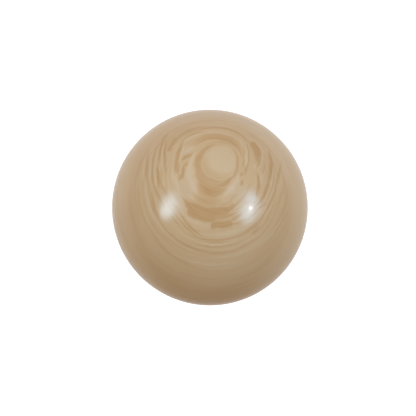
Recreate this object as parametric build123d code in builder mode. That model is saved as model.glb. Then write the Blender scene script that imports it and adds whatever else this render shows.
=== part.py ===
from build123d import *
import os
from math import pi, radians, sin, sqrt

# Cue ball of the kind made for coin-operated tables, where the ball return tells the cue ball
# from the others by the steel inside it. It is cast from the inside out:
#
#   core_ball        heavy filled-resin ball with a blind socket at its top
#   lower_mesh_cup   perforated steel half shell around the core
#   upper_mesh_cup   its twin, with an opening at the top that the pin's spigot passes
#   support_pin      resin pin that holds the core in the middle of the mould
#   marbled_cover    marbled resin poured round all of it, ground and polished to size
#
# Origin at the centre of the ball, +Z along the support pin, out through its visible end.

# Driving dimensions, in millimetres
BALL_DIAMETER = 57.15
CORE_DIAMETER = 38.1
CUP_THICKNESS = 0.6
PIN_DIAMETER = 10.4
SPIGOT_DIAMETER = 5.0
SPIGOT_CHAMFER = 0.6
SOCKET_DEPTH = 6.0
GLUE_GAP = 0.05

# Perforation of the steel cups, in millimetres, and in degrees from the pin's axis
FLOW_HOLE_DIAMETER = 3.6
FLOW_HOLE_PITCH = 5.6
FIRST_RING_ANGLE = 24.0
RING_STEP_ANGLE = 16.0
RING_COUNT = 4

# Worked out from them
ball_radius = BALL_DIAMETER / 2
core_radius = CORE_DIAMETER / 2
cup_radius = core_radius + CUP_THICKNESS
pin_radius = PIN_DIAMETER / 2
spigot_radius = SPIGOT_DIAMETER / 2
socket_radius = spigot_radius + GLUE_GAP
socket_floor = core_radius - SOCKET_DEPTH
spigot_end = socket_floor + GLUE_GAP
punch_length = 4 * CUP_THICKNESS


def on_sphere(radius, x):
    """The point of a sphere's upper profile that lies x from the axis."""
    return (x, sqrt(radius**2 - x**2))


def flow_hole_planes(up):
    """Planes on a cup's inner wall, square to its perforations. up is 1 or -1, the cup's side."""
    planes = []
    for ring in range(RING_COUNT):
        angle = FIRST_RING_ANGLE + ring * RING_STEP_ANGLE
        girth = 2 * pi * cup_radius * sin(radians(angle))
        count = round(girth / FLOW_HOLE_PITCH)
        stagger = 180 / count * (ring % 2)
        for step in range(count):
            turn = stagger + step * 360 / count
            outward = Vector(0, 0, up).rotate(Axis.Y, angle * up).rotate(Axis.Z, turn)
            planes.append(Plane(origin=outward * core_radius, z_dir=outward))
    return planes


# Core: a plain ball with a flat-bottomed socket for the pin's spigot
with BuildPart() as core_ball:
    Sphere(core_radius)
    with Locations((0, 0, socket_floor)):
        Cylinder(
            socket_radius,
            CORE_DIAMETER,
            align=(Align.CENTER, Align.CENTER, Align.MIN),
            mode=Mode.SUBTRACT,
        )

# Support pin: its shoulder sits on the upper cup and its end is ground off with the ball,
# so both are parts of spheres about the origin
with BuildPart() as support_pin:
    with BuildSketch(Plane.XZ):
        with BuildLine():
            Polyline(
                on_sphere(cup_radius, spigot_radius),
                (spigot_radius, spigot_end),
                (0, spigot_end),
                (0, ball_radius),
            )
            ThreePointArc(
                (0, ball_radius),
                on_sphere(ball_radius, pin_radius / 2),
                on_sphere(ball_radius, pin_radius),
            )
            Line(
                on_sphere(ball_radius, pin_radius),
                on_sphere(cup_radius, pin_radius),
            )
            ThreePointArc(
                on_sphere(cup_radius, pin_radius),
                on_sphere(cup_radius, (pin_radius + spigot_radius) / 2),
                on_sphere(cup_radius, spigot_radius),
            )
        make_face()
    revolve(axis=Axis.Z)
    spigot_rim = support_pin.edges().filter_by(GeomType.CIRCLE).sort_by(Axis.Z)[0]
    chamfer(spigot_rim, SPIGOT_CHAMFER)

# Lower cup: half a steel shell, perforated so that the cover's resin runs in and grips
with BuildPart() as lower_mesh_cup:
    Sphere(cup_radius)
    Sphere(core_radius, mode=Mode.SUBTRACT)
    split(bisect_by=Plane.XY, keep=Keep.BOTTOM)
    with Locations(*flow_hole_planes(up=-1)):
        Cylinder(FLOW_HOLE_DIAMETER / 2, punch_length, mode=Mode.SUBTRACT)

# Upper cup: the same, with an opening at its pole for the spigot
with BuildPart() as upper_mesh_cup:
    Sphere(cup_radius)
    Sphere(core_radius, mode=Mode.SUBTRACT)
    split(bisect_by=Plane.XY, keep=Keep.TOP)
    with Locations((0, 0, core_radius)):
        Cylinder(socket_radius, punch_length, mode=Mode.SUBTRACT)
    with Locations(*flow_hole_planes(up=1)):
        Cylinder(FLOW_HOLE_DIAMETER / 2, punch_length, mode=Mode.SUBTRACT)

# Cover: all the room between the mould's wall and the pieces inside, so it fills the cups'
# perforations right down to the core and closes round the pin
with BuildPart() as marbled_cover:
    Sphere(ball_radius)
    Sphere(core_radius, mode=Mode.SUBTRACT)
    Cylinder(
        pin_radius,
        BALL_DIAMETER,
        align=(Align.CENTER, Align.CENTER, Align.MIN),
        mode=Mode.SUBTRACT,
    )
    add(lower_mesh_cup.part, mode=Mode.SUBTRACT)
    add(upper_mesh_cup.part, mode=Mode.SUBTRACT)

os.makedirs("parts", exist_ok=True)
pieces = {
    "core_ball": core_ball,
    "lower_mesh_cup": lower_mesh_cup,
    "upper_mesh_cup": upper_mesh_cup,
    "support_pin": support_pin,
    "marbled_cover": marbled_cover,
}
for name, piece in pieces.items():
    piece.part.label = name
    export_step(piece.part, f"parts/{name}.step")
    print(name, round(piece.part.volume), "mm3,", len(piece.faces()), "faces")
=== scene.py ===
from math import asin, atan, cos, pi, radians, sin, sqrt, tan

import bmesh
import bpy
from mathutils import Matrix, Vector


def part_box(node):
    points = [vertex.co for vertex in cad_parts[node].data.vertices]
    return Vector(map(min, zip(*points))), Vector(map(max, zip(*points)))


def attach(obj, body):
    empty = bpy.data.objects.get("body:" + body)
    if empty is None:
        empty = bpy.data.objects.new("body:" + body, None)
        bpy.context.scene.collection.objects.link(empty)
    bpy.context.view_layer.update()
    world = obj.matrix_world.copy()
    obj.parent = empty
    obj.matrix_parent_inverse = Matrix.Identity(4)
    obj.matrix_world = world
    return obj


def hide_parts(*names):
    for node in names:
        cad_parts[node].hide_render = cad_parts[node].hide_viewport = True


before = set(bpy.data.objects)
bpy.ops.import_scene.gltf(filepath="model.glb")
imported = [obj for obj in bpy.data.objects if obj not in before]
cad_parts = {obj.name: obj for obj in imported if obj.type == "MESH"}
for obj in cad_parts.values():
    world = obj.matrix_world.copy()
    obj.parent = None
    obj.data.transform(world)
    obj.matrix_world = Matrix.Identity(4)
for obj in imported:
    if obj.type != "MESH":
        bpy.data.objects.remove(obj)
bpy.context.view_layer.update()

MM = 0.001

# ---------------------------------------------------------------------------------------------
# Sizes, read from the frame
# ---------------------------------------------------------------------------------------------

ball_low, ball_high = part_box("marbled_cover")
pin_low, pin_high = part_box("support_pin")
cup_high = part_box("upper_mesh_cup")[1]

BALL_RADIUS = ball_high.x
PIN_RADIUS = pin_high.x
CUP_RADIUS = cup_high.x
PIN_FOOT = pin_low.z
FLOOR_HEIGHT = ball_low.z

# the pin's spigot, which no box tells apart from the rest of the pin
SPIGOT_RADIUS = 2.5 * MM
SPIGOT_CHAMFER = 0.6 * MM

# ---------------------------------------------------------------------------------------------
# Camera: high in front of the ball, rolled so that the pin leans to the right of the picture
# ---------------------------------------------------------------------------------------------

ELEVATION = radians(63.6)
ROLL = radians(11.6)
LENS_MM = 600                   # long, because the swirl shows next to no perspective
SENSOR_MM = 36
BALL_SHARE = 0.471              # how much of the picture's width the ball fills
PICTURE_SHIFT = (-0.0046, -0.0012)

to_camera = Vector((0, -cos(ELEVATION), sin(ELEVATION)))
level_right = Vector((1, 0, 0))
level_up = to_camera.cross(level_right)
picture_up = cos(ROLL) * level_up - sin(ROLL) * level_right
picture_right = cos(ROLL) * level_right + sin(ROLL) * level_up


def add_camera():
    half_width = SENSOR_MM / 2 / LENS_MM
    ball_angle = atan(half_width * BALL_SHARE)
    distance = BALL_RADIUS / sin(ball_angle)
    data = bpy.data.cameras.new("camera")
    data.lens = LENS_MM
    data.sensor_width = SENSOR_MM
    data.shift_x, data.shift_y = PICTURE_SHIFT
    data.clip_start = 0.01
    data.clip_end = 20
    camera = bpy.data.objects.new("camera", data)
    axes = Matrix((picture_right, picture_up, to_camera)).transposed()
    camera.matrix_world = Matrix.Translation(to_camera * distance) @ axes.to_4x4()
    bpy.context.scene.collection.objects.link(camera)
    bpy.context.scene.camera = camera


# ---------------------------------------------------------------------------------------------
# Node helpers
# ---------------------------------------------------------------------------------------------

def feed(tree, socket, value):
    """Links value to the socket if it is another node's output, or else sets it there."""
    if isinstance(value, bpy.types.NodeSocket):
        tree.links.new(value, socket)
    else:
        socket.default_value = value


def calc(tree, operation, *values):
    node = tree.nodes.new("ShaderNodeMath")
    node.operation = operation
    for socket, value in zip(node.inputs, values):
        feed(tree, socket, value)
    return node.outputs[0]


def vector_calc(tree, operation, *values):
    node = tree.nodes.new("ShaderNodeVectorMath")
    node.operation = operation
    for socket, value in zip(node.inputs, values):
        feed(tree, socket, value)
    return node.outputs["Value" if operation in ("DOT_PRODUCT", "LENGTH") else "Vector"]


def combine(tree, x, y, z):
    node = tree.nodes.new("ShaderNodeCombineXYZ")
    for socket, value in zip(node.inputs, (x, y, z)):
        feed(tree, socket, value)
    return node.outputs[0]


def ramp(tree, value, low, high, low_result=0.0, high_result=1.0, smooth=True):
    """A clamped step from low_result to high_result as value goes from low to high."""
    node = tree.nodes.new("ShaderNodeMapRange")
    node.interpolation_type = "SMOOTHSTEP" if smooth else "LINEAR"
    for name, number in (
        ("Value", value),
        ("From Min", low),
        ("From Max", high),
        ("To Min", low_result),
        ("To Max", high_result),
    ):
        feed(tree, node.inputs[name], number)
    return node.outputs["Result"]


def noise(tree, place, scale, detail=3.0, roughness=0.5, output="Fac"):
    node = tree.nodes.new("ShaderNodeTexNoise")
    feed(tree, node.inputs["Vector"], place)
    feed(tree, node.inputs["Scale"], scale)
    feed(tree, node.inputs["Detail"], detail)
    feed(tree, node.inputs["Roughness"], roughness)
    return node.outputs[output]


def group_tree(name, inputs, outputs):
    """A new shader node group, with float or vector sockets, and its input and output nodes."""
    tree = bpy.data.node_groups.new(name, "ShaderNodeTree")
    for label, kind in inputs:
        tree.interface.new_socket(label, in_out="INPUT", socket_type=kind)
    for label, kind in outputs:
        tree.interface.new_socket(label, in_out="OUTPUT", socket_type=kind)
    return tree, tree.nodes.new("NodeGroupInput"), tree.nodes.new("NodeGroupOutput")


NUMBER = "NodeSocketFloat"
VECTOR = "NodeSocketVector"

# ---------------------------------------------------------------------------------------------
# The swirl in the resin, with broad bands of painted shade and painted light near the outline,
# drawn round the pin on the ball's own directions.
# Every place is an azimuth round the pin, 0 at -Y and 90 at +X, and an angle from the pin, both
# in degrees. Tone is -1 for the darkest resin, 0 for the body colour and 1 for the palest.
# ---------------------------------------------------------------------------------------------

# the pale eye round the pin
EYE_AZIMUTH = radians(95)       # which way its centre leans
EYE_LEAN = radians(0.6)
EYE_SQUEEZE = 1.27              # how much longer it is from front to back than across
EYE_FULL = 11.0                 # the angles where its tone begins and ends to fade
EYE_END = 14.4
EYE_TONE = 0.38

# the fine lines, which run on rings round the pin, and the broad clouds
RING_LEAN = 0.27                # how far the rings reach out in front of the pin
LINE_START = (19.0, 30.0)       # the angles over which the lines come up out of the eye's halo
LINE_FADE = (42.0, 58.0)        # the rings over which they fade to their faintest
LINE_FAINTEST = 0.4
LINE_WEIGHT = 0.43
LINES_HIDDEN = 0.8              # how much of them full dark resin hides
CLOUD_WEIGHT = 0.12

DRIFT = 0.03                    # of the whole pattern, as a share of the ball's radius
SHAKE = 0.03                    # of the strokes' edges

# how a stroke ends, and how softly a blotch fades in degrees
STREAK_BLUNTNESS = 2.0
BLOTCH_BLUNTNESS = 9.0
BLOTCH_SOFTNESS = 1.1

# azimuth from, azimuth to, angle at the start, middle and end, half width, tone
STREAKS_AND_PAINTED_BANDS = [
    # halo round the pale eye, with a soft shade on its near side
    (-165, -20, 14.0, 12.2, 13.2, 1.5, -0.78),
    (-70, 30, 13.0, 14.6, 13.6, 1.4, -0.8),
    (-74, 40, 11.6, 11.9, 12.0, 3.0, -0.72),
    (-104, 66, 8.4, 8.2, 9.2, 3.0, -0.5),
    (0, 58, 13.8, 12.1, 10.8, 1.5, -1.0),
    (-36, 26, 15.4, 17.0, 14.8, 3.6, -1.15),
    (38, 160, 12.4, 11.0, 14.6, 1.0, -0.6),
    (140, 215, 15.6, 16.2, 14.5, 0.8, -0.35),
    # pale ground round the halo
    (-112, -60, 15.8, 16.0, 17.6, 1.0, 0.6),
    (-84, -42, 16.8, 17.4, 20.0, 2.4, 0.55),
    (-58, -22, 18.0, 19.2, 22.8, 2.4, 0.45),
    (-36, -12, 25.0, 24.8, 24.4, 1.0, 0.2),
    (-26, 10, 26.6, 25.6, 25.6, 1.5, -0.5),
    (-26, 14, 23.4, 23.4, 22.4, 3.0, -0.65),
    (8, 36, 24.6, 23.6, 22.0, 1.2, -0.45),
    (8, 36, 19.8, 17.8, 17.0, 1.5, 0.45),
    (22, 54, 17.8, 16.4, 14.8, 1.8, 0.4),
    (28, 44, 22.0, 21.3, 20.6, 1.2, -0.35),
    (40, 78, 14.8, 14.2, 13.0, 1.2, 0.35),
    (-80, -44, 28.0, 27.0, 28.0, 1.6, 0.3),
    # band and fine arcs behind the eye
    (128, 238, 15.4, 18.8, 19.2, 1.3, -0.85),
    (146, 236, 18.8, 20.8, 21.2, 1.7, -0.6),
    (150, 235, 22.6, 23.8, 26.0, 0.7, 0.4),
    (190, 222, 25.6, 26.4, 28.6, 0.4, 0.4),
    (140, 216, 26.0, 28.2, 28.4, 0.9, -0.9),
    (198, 252, 29.0, 31.6, 32.2, 1.5, -0.55),
    # lines that run into them from the right
    (73, 86, 14.2, 14.7, 14.8, 0.8, -0.8),
    (98, 114, 15.0, 14.6, 14.9, 0.5, -0.7),
    (96, 140, 14.6, 15.8, 18.8, 0.5, -0.6),
    (80, 110, 16.6, 16.6, 17.4, 0.9, -0.6),
    (98, 134, 16.4, 17.0, 20.4, 1.3, 0.5),
    (106, 156, 17.4, 19.6, 25.6, 0.45, 0.5),
    (80, 158, 16.6, 19.0, 27.0, 0.6, -0.6),
    (144, 160, 20.0, 22.0, 25.0, 0.9, 0.3),
    (104, 142, 24.0, 25.9, 27.2, 2.3, -0.75),
    (96, 131, 22.4, 27.2, 31.4, 0.6, 0.65),
    (98, 112, 21.6, 22.0, 23.4, 1.0, 0.35),
    # right side
    (57, 70, 17.9, 17.6, 16.8, 1.0, -0.9),
    (48, 76, 23.6, 22.6, 21.4, 0.6, -0.4),
    (62, 94, 29.2, 26.6, 23.6, 1.0, -0.95),
    (80, 98, 28.2, 27.0, 26.2, 0.8, 0.4),
    (92, 112, 26.0, 27.6, 29.0, 0.5, -0.4),
    (56, 96, 33.0, 32.0, 31.6, 1.0, -0.9),
    (84, 129, 31.4, 33.0, 37.0, 1.3, -0.85),
    (103, 128, 33.2, 34.0, 36.0, 1.5, -0.55),
    (56, 68, 34.8, 35.4, 36.6, 0.7, -0.6),
    (54, 108, 36.2, 34.8, 35.6, 0.5, -0.55),
    (62, 108, 35.6, 34.0, 34.6, 0.5, 0.4),
    (57, 94, 39.6, 38.3, 36.8, 0.9, -0.75),
    (82, 119, 37.4, 38.5, 44.4, 0.8, -0.7),
    (62, 100, 41.0, 39.4, 41.4, 0.5, 0.25),
    (26, 64, 45.0, 42.2, 38.8, 1.3, -0.7),
    (40, 50, 45.8, 44.8, 43.2, 1.0, -0.4),
    (66, 96, 44.0, 43.0, 43.6, 0.9, -0.35),
    (84, 102, 46.6, 45.0, 42.0, 2.0, -0.3),
    (58, 98, 51.8, 49.0, 46.6, 1.2, -0.5),
    (54, 84, 54.6, 53.0, 52.6, 0.8, -0.3),
    # hooks on the left
    (-106, -89, 16.7, 19.4, 21.4, 1.5, -0.9),
    (-124, -102, 18.6, 20.4, 21.8, 2.2, 0.45),
    (-118, -86, 25.2, 23.2, 23.2, 0.5, 0.7),
    (-122, -70, 27.8, 25.3, 26.4, 1.0, -0.85),
    (-87, -76, 18.4, 18.8, 19.6, 1.1, -0.75),
    (-81, -58, 20.0, 21.2, 22.2, 1.1, -0.9),
    (-92, -68, 24.9, 24.5, 24.5, 1.5, -0.75),
    (-84, -72, 17.6, 16.6, 16.2, 0.7, 0.4),
    (-156, -124, 25.8, 27.2, 28.4, 0.6, -0.6),
    (-152, -118, 24.4, 25.4, 26.0, 0.9, 0.45),
    (-110, -70, 29.2, 27.6, 28.6, 0.6, 0.3),
    # fine arcs on the left
    (-114, -72, 38.2, 33.2, 31.4, 0.8, -0.8),
    (-112, -78, 39.4, 35.2, 33.8, 0.6, 0.45),
    (-116, -66, 40.2, 36.2, 36.8, 0.5, 0.35),
    (-118, -84, 42.0, 38.0, 36.0, 0.7, -0.8),
    (-86, -60, 37.2, 36.9, 38.2, 0.9, -0.95),
    (-112, -50, 42.0, 39.0, 41.0, 0.5, 0.45),
    (-112, -50, 43.4, 40.6, 41.6, 0.7, -0.7),
    (-104, -60, 44.4, 42.6, 43.4, 0.6, 0.4),
    (-74, -46, 41.2, 40.4, 40.8, 0.9, -0.75),
    (-70, -48, 36.8, 35.6, 36.2, 0.7, -0.5),
    (-74, -58, 33.0, 34.4, 35.2, 0.5, 0.3),
    (-104, -60, 48.4, 44.6, 45.6, 0.9, -0.55),
    (-96, -62, 48.6, 47.0, 47.6, 0.6, 0.3),
    (-104, -70, 49.6, 52.2, 57.0, 2.1, -0.4),
    # the darker ends of the broad crescent in front
    (-36, -10, 29.0, 29.8, 31.6, 1.5, -0.85),
    (-22, -8, 33.0, 33.6, 34.2, 0.8, -0.5),
    (14, 36, 27.8, 26.8, 25.2, 1.8, -0.9),
    (24, 62, 27.2, 24.9, 22.4, 0.7, -0.65),
    (-2, 34, 32.4, 31.4, 30.2, 1.1, -0.85),
    (14, 27, 33.6, 33.2, 32.4, 0.6, 0.2),
    (20, 40, 36.6, 36.6, 36.0, 0.8, -0.5),
    (18, 38, 34.8, 33.6, 32.0, 1.0, -0.5),
    # by the left highlight
    (-40, -24, 35.0, 36.0, 37.6, 1.4, -0.35),
    (-22, 6, 35.8, 37.4, 38.0, 1.9, 0.1),
    (-8, 38, 42.0, 41.4, 39.0, 1.9, 0.15),
    # long arcs in front
    (-32, -1, 35.8, 39.6, 44.0, 0.9, -0.75),
    (-34, -1, 38.6, 41.8, 46.2, 0.6, -0.65),
    (-33, -16, 41.2, 43.0, 44.8, 0.6, -0.5),
    (-12, 38, 44.6, 45.2, 42.6, 0.8, -0.65),
    (-4, 22, 46.8, 46.8, 46.4, 0.4, -0.7),
    (-2, 22, 48.0, 48.0, 47.6, 0.45, 0.45),
    (-8, 32, 49.0, 49.2, 47.8, 0.6, -0.5),
    (-66, 30, 45.0, 51.4, 52.5, 0.9, -0.55),
    (-64, -36, 42.8, 46.0, 48.6, 0.9, -0.6),
    (-4, 38, 53.4, 53.4, 50.6, 0.7, -0.4),
    (-22, 22, 60.6, 61.2, 60.0, 0.9, 0.3),
    (-36, 0, 59.0, 62.6, 64.8, 0.9, -0.35),
    # painted shade: broad soft darker bands nearer the outline, on the left, in front and on the
    # right, where the light falls off
    (-104, -20, 55.0, 62.0, 82.0, 4.0, -0.26),
    (-52, 52, 67.0, 86.0, 69.0, 4.5, -0.26),
    (18, 100, 83.0, 63.5, 46.0, 4.0, -0.26),
    # painted light: a broad soft paler band behind the eye, near the upper outline, where the rim
    # catches more light
    (112, 240, 45.0, 43.0, 45.0, 4.0, 0.3),
]

# the same, for strokes that end bluntly
BLOTCHES = [
    # right of the eye
    (119, 144, 25.8, 27.2, 27.8, 2.6, -0.95),
    # the broad crescent, and the patch below it
    (-30, 26, 30.2, 28.6, 27.6, 2.6, -1.05),
    (-23, 9, 32.6, 32.4, 31.8, 2.2, -1.0),
    (4, 26, 36.0, 35.8, 36.0, 2.1, -0.95),
    (4, 10, 35.8, 36.0, 36.0, 2.6, -0.75),
    # left of the eye
    (-67, -58, 22.2, 22.8, 23.2, 1.7, -0.85),
    # ends of arcs, left
    (-123, -101.5, 32.4, 32.8, 31.8, 1.3, -0.75),
    (-121, -107, 41.8, 41.2, 40.2, 1.4, -0.6),
]


def streak_group():
    """One tapered brush stroke along a curve: 1 on it and 0 off it."""
    tree, given, result = group_tree(
        "swirl streak",
        [
            ("Azimuth", NUMBER),
            ("Angle", NUMBER),
            ("Middle azimuth", NUMBER),
            ("Half span", NUMBER),
            ("Middle angle", NUMBER),
            ("Tilt", NUMBER),
            ("Bend", NUMBER),
            ("Half width", NUMBER),
            ("Softness", NUMBER),
            ("Bluntness", NUMBER),
        ],
        [("Cover", NUMBER)],
    )
    put = given.outputs
    away = calc(tree, "SUBTRACT", put["Azimuth"], put["Middle azimuth"])
    away = calc(tree, "WRAP", away, 180.0, -180.0)
    along = calc(tree, "DIVIDE", away, put["Half span"])
    lean = calc(tree, "MULTIPLY_ADD", along, put["Bend"], put["Tilt"])
    path = calc(tree, "MULTIPLY_ADD", along, lean, put["Middle angle"])
    off = calc(tree, "ABSOLUTE", calc(tree, "SUBTRACT", put["Angle"], path))
    spent = calc(tree, "POWER", calc(tree, "ABSOLUTE", along), put["Bluntness"])
    room = calc(tree, "MULTIPLY", put["Half width"], calc(tree, "SUBTRACT", 1.0, spent))
    inside = calc(tree, "DIVIDE", calc(tree, "SUBTRACT", room, off), put["Softness"])
    feed(tree, result.inputs["Cover"], ramp(tree, inside, -1.0, 1.0))
    return tree


def streak_softness(streak):
    """A broad stroke fades out more softly than a narrow one."""
    half_width = streak[-2]
    return 0.35 + 0.3 * half_width**2


def add_streak(tree, group, azimuth, angle, streak, softness, bluntness):
    start, end, angle_start, angle_middle, angle_end, half_width, tone = streak
    node = tree.nodes.new("ShaderNodeGroup")
    node.node_tree = group
    for name, value in (
        ("Azimuth", azimuth),
        ("Angle", angle),
        ("Middle azimuth", (start + end) / 2),
        ("Half span", (end - start) / 2),
        ("Middle angle", angle_middle),
        ("Tilt", (angle_end - angle_start) / 2),
        ("Bend", (angle_start + angle_end) / 2 - angle_middle),
        ("Half width", half_width),
        ("Softness", softness),
        ("Bluntness", bluntness),
    ):
        feed(tree, node.inputs[name], value)
    return calc(tree, "MULTIPLY", node.outputs["Cover"], abs(tone))


def swirl_and_painted_shading_group():
    """Tone of the resin at a place on the ball, with its bands of painted shade and painted light
    near the outline, from -1, dark, to 1, pale.
    """
    tree, given, result = group_tree("resin swirl and painted shading", [("Place", VECTOR)], [("Tone", NUMBER)])
    direction = vector_calc(tree, "NORMALIZE", given.outputs["Place"])

    # a slow drift of the whole pattern and a fine shake of its edges
    drift = noise(tree, direction, 2.2, 2.0, 0.5, "Color")
    drift = vector_calc(tree, "SUBTRACT", drift, (0.5, 0.5, 0.5))
    shake = noise(tree, direction, 11.0, 3.0, 0.6, "Color")
    shake = vector_calc(tree, "SUBTRACT", shake, (0.5, 0.5, 0.5))
    moved = vector_calc(tree, "MULTIPLY_ADD", drift, (DRIFT,) * 3, direction)
    moved = vector_calc(tree, "MULTIPLY_ADD", shake, (SHAKE,) * 3, moved)
    moved = vector_calc(tree, "NORMALIZE", moved)

    parts = tree.nodes.new("ShaderNodeSeparateXYZ")
    tree.links.new(moved, parts.inputs[0])
    x, y, z = parts.outputs
    azimuth = calc(tree, "DEGREES", calc(tree, "ARCTAN2", x, calc(tree, "MULTIPLY", y, -1.0)))
    from_axis = vector_calc(tree, "LENGTH", combine(tree, x, y, 0.0))
    angle = calc(tree, "DEGREES", calc(tree, "ARCTAN2", from_axis, z))

    group = streak_group()
    dark, pale = 0.0, 0.0
    strokes = [(streak, streak_softness(streak), STREAK_BLUNTNESS) for streak in STREAKS_AND_PAINTED_BANDS]
    strokes += [(streak, BLOTCH_SOFTNESS, BLOTCH_BLUNTNESS) for streak in BLOTCHES]
    for streak, softness, bluntness in strokes:
        cover = add_streak(tree, group, azimuth, angle, streak, softness, bluntness)
        if streak[-1] < 0:
            dark = calc(tree, "MAXIMUM", dark, cover)
        else:
            pale = calc(tree, "MAXIMUM", pale, cover)

    # fine lines along off-centre rings, which start outside the eye's halo and fade farther out
    ahead = calc(tree, "COSINE", calc(tree, "RADIANS", azimuth))
    aside = calc(tree, "SINE", calc(tree, "RADIANS", azimuth))
    ring = calc(tree, "DIVIDE", angle, calc(tree, "MULTIPLY_ADD", ahead, RING_LEAN, 1.0))
    strip = vector_calc(tree, "MULTIPLY", combine(tree, ahead, aside, ring), (0.9, 0.9, 0.55))
    lines = noise(tree, strip, 1.1, 4.0, 0.65)
    lines = ramp(tree, lines, 0.3, 0.7, -1.0, 1.0, smooth=False)
    near = ramp(tree, angle, *LINE_START)
    far = ramp(tree, ring, *LINE_FADE, 1.0, LINE_FAINTEST)
    uncovered = calc(tree, "MULTIPLY_ADD", dark, -LINES_HIDDEN, 1.0)
    for share in (near, far, uncovered):
        lines = calc(tree, "MULTIPLY", lines, share)

    # broad clouds, which are all that is left of the swirl on the far side
    clouds = noise(tree, moved, 1.7, 3.0, 0.5)
    clouds = ramp(tree, clouds, 0.3, 0.7, -1.0, 1.0, smooth=False)

    lean = sin(EYE_LEAN)
    eye_way = (lean * sin(EYE_AZIMUTH), -lean * cos(EYE_AZIMUTH), cos(EYE_LEAN))
    narrowed = vector_calc(tree, "MULTIPLY", moved, (EYE_SQUEEZE, 1.0, 1.0))
    narrowed = vector_calc(tree, "NORMALIZE", narrowed)
    from_eye = calc(tree, "ARCCOSINE", vector_calc(tree, "DOT_PRODUCT", narrowed, eye_way))
    eye = ramp(tree, calc(tree, "DEGREES", from_eye), EYE_FULL, EYE_END, EYE_TONE, 0.0)
    pale = calc(tree, "MAXIMUM", pale, eye)

    # the dark resin and the bands of painted shade are uneven, and they lie over the pale
    mottle = noise(tree, strip, 2.3, 2.0, 0.5)
    dark = calc(tree, "MULTIPLY", dark, ramp(tree, mottle, 0.3, 0.7, 0.75, 1.15, smooth=False))
    tone = calc(tree, "SUBTRACT", pale, calc(tree, "MULTIPLY", dark, calc(tree, "ADD", pale, 1.0)))
    tone = calc(tree, "MULTIPLY_ADD", lines, LINE_WEIGHT, tone)
    tone = calc(tree, "MULTIPLY_ADD", clouds, CLOUD_WEIGHT, tone)
    feed(tree, result.inputs["Tone"], tone)
    return tree


# ---------------------------------------------------------------------------------------------
# Materials
# ---------------------------------------------------------------------------------------------

TONE_RANGE = 1.8                # the tone that is the very darkest or palest resin colour
RESIN_DARK = (164, 120, 68)
RESIN_BODY = (189, 160, 125)
RESIN_PALE = (202, 188, 171)


def srgb(red, green, blue):
    """Linear values for a colour given as it looks, 0 to 255."""
    return [((c / 255 + 0.055) / 1.055) ** 2.4 for c in (red, green, blue)] + [1.0]


def new_material(name):
    material = bpy.data.materials.new(name)
    material.use_nodes = True
    tree = material.node_tree
    return material, tree, tree.nodes["Principled BSDF"]


def color_ramp(tree, value, stops):
    node = tree.nodes.new("ShaderNodeValToRGB")
    feed(tree, node.inputs["Fac"], value)
    elements = node.color_ramp.elements
    while len(elements) < len(stops):
        elements.new(0.5)
    for element, (position, color) in zip(elements, stops):
        element.position = position
        element.color = color
    return node.outputs["Color"]


def polish_bump(tree, place):
    """The last trace of grinding: faint waves and hairlines in the polished face."""
    waves = noise(tree, place, 180.0, 2.0)
    hairs = noise(tree, vector_calc(tree, "MULTIPLY", place, (1.0, 1.0, 9.0)), 2500.0, 2.0)
    height = calc(tree, "MULTIPLY_ADD", hairs, 0.12, waves)
    node = tree.nodes.new("ShaderNodeBump")
    node.inputs["Strength"].default_value = 0.06
    node.inputs["Distance"].default_value = 0.02 * MM
    feed(tree, node.inputs["Height"], height)
    return node.outputs["Normal"]


def resin_material(name, swirl):
    material, tree, shader = new_material(name)
    place = tree.nodes.new("ShaderNodeTexCoord").outputs["Object"]
    pattern = tree.nodes.new("ShaderNodeGroup")
    pattern.node_tree = swirl
    feed(tree, pattern.inputs["Place"], place)
    shade = ramp(tree, pattern.outputs["Tone"], -TONE_RANGE, TONE_RANGE, smooth=False)
    feed(tree, shader.inputs["Base Color"], color_ramp(tree, shade, [
        (0.0, srgb(*RESIN_DARK)),
        (0.5, srgb(*RESIN_BODY)),
        (1.0, srgb(*RESIN_PALE)),
    ]))
    rough = noise(tree, place, 900.0, 3.0)
    feed(tree, shader.inputs["Roughness"], ramp(tree, rough, 0.3, 0.7, 0.13, 0.20, smooth=False))
    feed(tree, shader.inputs["Normal"], polish_bump(tree, place))
    shader.inputs["IOR"].default_value = 1.5
    return material


def steel_material():
    material, tree, shader = new_material("pressed steel")
    place = tree.nodes.new("ShaderNodeTexCoord").outputs["Object"]
    grain = noise(tree, vector_calc(tree, "MULTIPLY", place, (1.0, 1.0, 14.0)), 900.0, 4.0, 0.6)
    feed(tree, shader.inputs["Base Color"], color_ramp(tree, grain, [
        (0.25, srgb(176, 178, 180)),
        (0.75, srgb(205, 206, 207)),
    ]))
    feed(tree, shader.inputs["Roughness"], ramp(tree, grain, 0.3, 0.7, 0.28, 0.45, smooth=False))
    shader.inputs["Metallic"].default_value = 1.0
    return material


def core_material():
    material, tree, shader = new_material("filled resin")
    place = tree.nodes.new("ShaderNodeTexCoord").outputs["Object"]
    speckle = noise(tree, place, 1400.0, 3.0, 0.7)
    feed(tree, shader.inputs["Base Color"], color_ramp(tree, speckle, [
        (0.35, srgb(128, 118, 106)),
        (0.65, srgb(160, 150, 137)),
    ]))
    shader.inputs["Roughness"].default_value = 0.7
    return material


def wear(piece, material):
    piece.data.materials.clear()
    piece.data.materials.append(material)


# ---------------------------------------------------------------------------------------------
# Meshes: the cover and the pin are turned round the pin's axis
# ---------------------------------------------------------------------------------------------

TURNS = 256                     # steps round the axis
WALL_STEPS = 8
EDGE_BREAK = 0.03 * MM
ON_AXIS = 1e-9

# the joint between pin and cover: its height under the broken edge, and its foot's angle from +Z
JOINT_TOP = sqrt(BALL_RADIUS**2 - PIN_RADIUS**2) - EDGE_BREAK
JOINT_FOOT = asin(PIN_RADIUS / CUP_RADIUS)


def arc(radius, start, end, steps):
    """Points (distance from the axis, height) on a circle about the centre, by angle from +Z."""
    angles = [start + (end - start) * k / steps for k in range(steps + 1)]
    return [(radius * sin(angle), radius * cos(angle)) for angle in angles]


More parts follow.
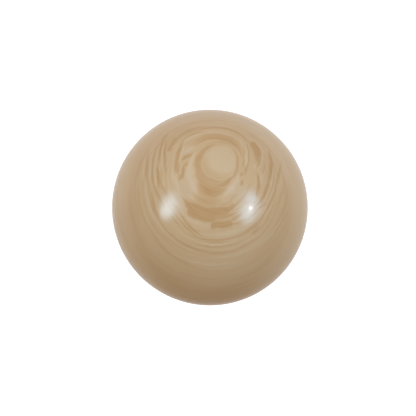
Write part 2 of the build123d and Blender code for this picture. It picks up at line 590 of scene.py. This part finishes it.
def turned(name, profile):
    """A closed mesh from a profile turned about Z, where a point on the axis is one vertex."""
    form = bmesh.new()
    rings = []
    for distance, height in profile:
        if distance < ON_AXIS:
            rings.append([form.verts.new((0, 0, height))])
            continue
        ways = [2 * pi * k / TURNS for k in range(TURNS)]
        ring = [(distance * cos(way), distance * sin(way), height) for way in ways]
        rings.append([form.verts.new(place) for place in ring])
    closed = len(rings[0]) > 1
    following = rings[1:] + rings[:1] if closed else rings[1:]
    for first, second in zip(rings, following):
        # two points on the axis have no face between them
        if len(first) == 1 and len(second) == 1:
            continue
        for k in range(TURNS):
            here, after = k, (k + 1) % TURNS
            if len(first) == 1:
                corners = (first[0], second[after], second[here])
            elif len(second) == 1:
                corners = (first[here], first[after], second[0])
            else:
                corners = (first[here], first[after], second[after], second[here])
            form.faces.new(corners)
    bmesh.ops.recalc_face_normals(form, faces=form.faces)
    mesh = bpy.data.meshes.new(name)
    form.to_mesh(mesh)
    form.free()
    mesh.shade_smooth()
    piece = bpy.data.objects.new(name, mesh)
    bpy.context.scene.collection.objects.link(piece)
    return piece


def joint_wall():
    """The wall that the pin and its bore share, from the surface down to the cups."""
    foot_height = CUP_RADIUS * cos(JOINT_FOOT)
    drop = (foot_height - JOINT_TOP) / WALL_STEPS
    return [(PIN_RADIUS, JOINT_TOP + drop * k) for k in range(WALL_STEPS + 1)]


def cover_piece():
    mouth = asin((PIN_RADIUS + EDGE_BREAK) / BALL_RADIUS)
    outside = arc(BALL_RADIUS, mouth, pi, 160)
    inside = arc(CUP_RADIUS, pi, JOINT_FOOT, 96)
    return turned("cover", outside + inside + joint_wall()[-2::-1])


def pin_piece():
    mouth = asin((PIN_RADIUS - EDGE_BREAK) / BALL_RADIUS)
    outside = arc(BALL_RADIUS, 0, mouth, 24)
    under = arc(CUP_RADIUS, JOINT_FOOT, asin(SPIGOT_RADIUS / CUP_RADIUS), 6)[1:]
    spigot = [
        (SPIGOT_RADIUS, PIN_FOOT + SPIGOT_CHAMFER),
        (SPIGOT_RADIUS - SPIGOT_CHAMFER, PIN_FOOT),
        (0.0, PIN_FOOT),
    ]
    return turned("pin", outside + joint_wall() + under + spigot)


# ---------------------------------------------------------------------------------------------
# Studio: a white floor, and a dome of pale cloth, darker low down, with two lamps behind it
# ---------------------------------------------------------------------------------------------

FLOOR_RADIUS = 6                # metres


def add_floor():
    """White paper, lit from under as on a light table, so that it stays white round the ball."""
    bpy.ops.mesh.primitive_circle_add(
        vertices=96,
        radius=FLOOR_RADIUS,
        fill_type="NGON",
        location=(0, 0, FLOOR_HEIGHT),
    )
    floor = bpy.context.object
    floor.name = "floor"
    floor.visible_diffuse = False
    floor.visible_glossy = False
    material, tree, shader = new_material("white paper")
    shader.inputs["Base Color"].default_value = (0.4, 0.4, 0.4, 1)
    shader.inputs["Roughness"].default_value = 0.9
    shader.inputs["Specular IOR Level"].default_value = 0.0
    shader.inputs["Emission Color"].default_value = (1, 1, 1, 1)
    shader.inputs["Emission Strength"].default_value = 0.9
    wear(floor, material)


def tilted(right, up):
    """The direction that leans from the camera's side by these angles in degrees."""
    way = to_camera + picture_right * tan(radians(right)) + picture_up * tan(radians(up))
    return way.normalized()


def lobe(tree, way, middle, inner, outer, strength):
    """Light of that strength within inner degrees of middle, fading to none at outer degrees."""
    near = vector_calc(tree, "DOT_PRODUCT", way, tuple(middle))
    return ramp(tree, near, cos(radians(outer)), cos(radians(inner)), 0.0, strength)


CLOTH_LIGHT = 0.475             # the dome's own cream light, all round
RIM_LIGHT = 0.36                # paler light from behind the ball, which shows along its outline
BACKDROP = 1.1                  # the dome where the camera sees it, past the floor

WHITE = (1.0, 1.0, 1.0)
COOL = (0.68, 1.0, 1.26)
BLUE = (0.62, 1.0, 1.35)
GLOW = (0.15, 0.85, 1.6)
CREAM = (1.1, 0.965, 0.795)
AMBER = (1.08, 0.92, 0.6)
PALE_BLUE = (0.92, 0.98, 1.12)
WARM_SHADE = (0.51, 0.39, 0.27)

# right, up, inner, outer, strength, colour
LOBES = [
    # the cloth over the ball
    (0, 50, 10, 75, 0.32, CREAM),
    (-49, 0, 8, 50, 0.25, AMBER),
    (49, 0, 8, 50, 0.25, CREAM),
    (0, -36, 8, 50, 0.14, CREAM),
    (-30, 23, 2, 15, 0.7, GLOW),
    (32, 22, 2, 15, 0.6, GLOW),
    (-49, 2, 3, 20, 0.25, GLOW),
    (49, 2, 3, 20, 0.3, GLOW),
    # the lamps' pools of light on it, left and right
    (-46, 12, 2, 12, 2.8, COOL),
    (-51, 2, 3, 14, 3.7, COOL),
    (-52.5, 3, 1, 6, 1.4, CREAM),
    (-54, -10, 1, 10, 4.4, COOL),
    (-54, -10, 1, 10, 0.8, CREAM),
    (-41, 0, 2, 13, 1.9, COOL),
    (50, 20, 1, 10, 1.1, GLOW),
    (50, 13, 1, 12, 2.3, BLUE),
    (49.5, 0, 3, 18, 3.0, BLUE),
    (44, -13, 1, 12, 3.9, BLUE),
    (38, -3, 1, 12, 0.5, BLUE),
    # and the bulb that shows through on the right
    (48.6, -1.5, 0.5, 3.2, 34.0, PALE_BLUE),
]


def add_dome():
    world = bpy.data.worlds.new("studio")
    bpy.context.scene.world = world
    world.use_nodes = True
    tree = world.node_tree
    background = tree.nodes["Background"]
    way = tree.nodes.new("ShaderNodeTexCoord").outputs["Generated"]
    way = vector_calc(tree, "NORMALIZE", way)
    above = vector_calc(tree, "DOT_PRODUCT", way, tuple(picture_up))
    behind = lobe(tree, way, -to_camera, 66, 82, RIM_LIGHT)
    light = vector_calc(tree, "MULTIPLY_ADD", behind, PALE_BLUE, [CLOTH_LIGHT * c for c in CREAM])
    raised = ramp(tree, above, -0.9, 0.3)
    shade = color_ramp(tree, raised, [(0.0, (*WARM_SHADE, 1.0)), (1.0, (*WHITE, 1.0))])
    light = vector_calc(tree, "MULTIPLY", light, shade)
    for right, up, inner, outer, strength, color in LOBES:
        spot = lobe(tree, way, tilted(right, up), inner, outer, strength)
        light = vector_calc(tree, "MULTIPLY_ADD", spot, color, light)
    seen = tree.nodes.new("ShaderNodeLightPath").outputs["Is Camera Ray"]
    light = vector_calc(tree, "MAXIMUM", light, calc(tree, "MULTIPLY", seen, BACKDROP))
    feed(tree, background.inputs["Color"], light)
    background.inputs["Strength"].default_value = 1.0


# ---------------------------------------------------------------------------------------------
# Making
# ---------------------------------------------------------------------------------------------

scene = bpy.context.scene
scene.view_settings.view_transform = "Standard"

add_camera()
add_floor()
add_dome()

swirl = swirl_and_painted_shading_group()
cover_resin_and_shading = resin_material("marbled resin and painted shading", swirl)
pin_resin = resin_material("pin resin", swirl)
steel = steel_material()

cover = cover_piece()
wear(cover, cover_resin_and_shading)
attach(cover, "root")
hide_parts("marbled_cover")

pin = pin_piece()
wear(pin, pin_resin)
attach(pin, "root")
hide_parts("support_pin")

for name in ("upper_mesh_cup", "lower_mesh_cup"):
    wear(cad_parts[name], steel)
wear(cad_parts["core_ball"], core_material())
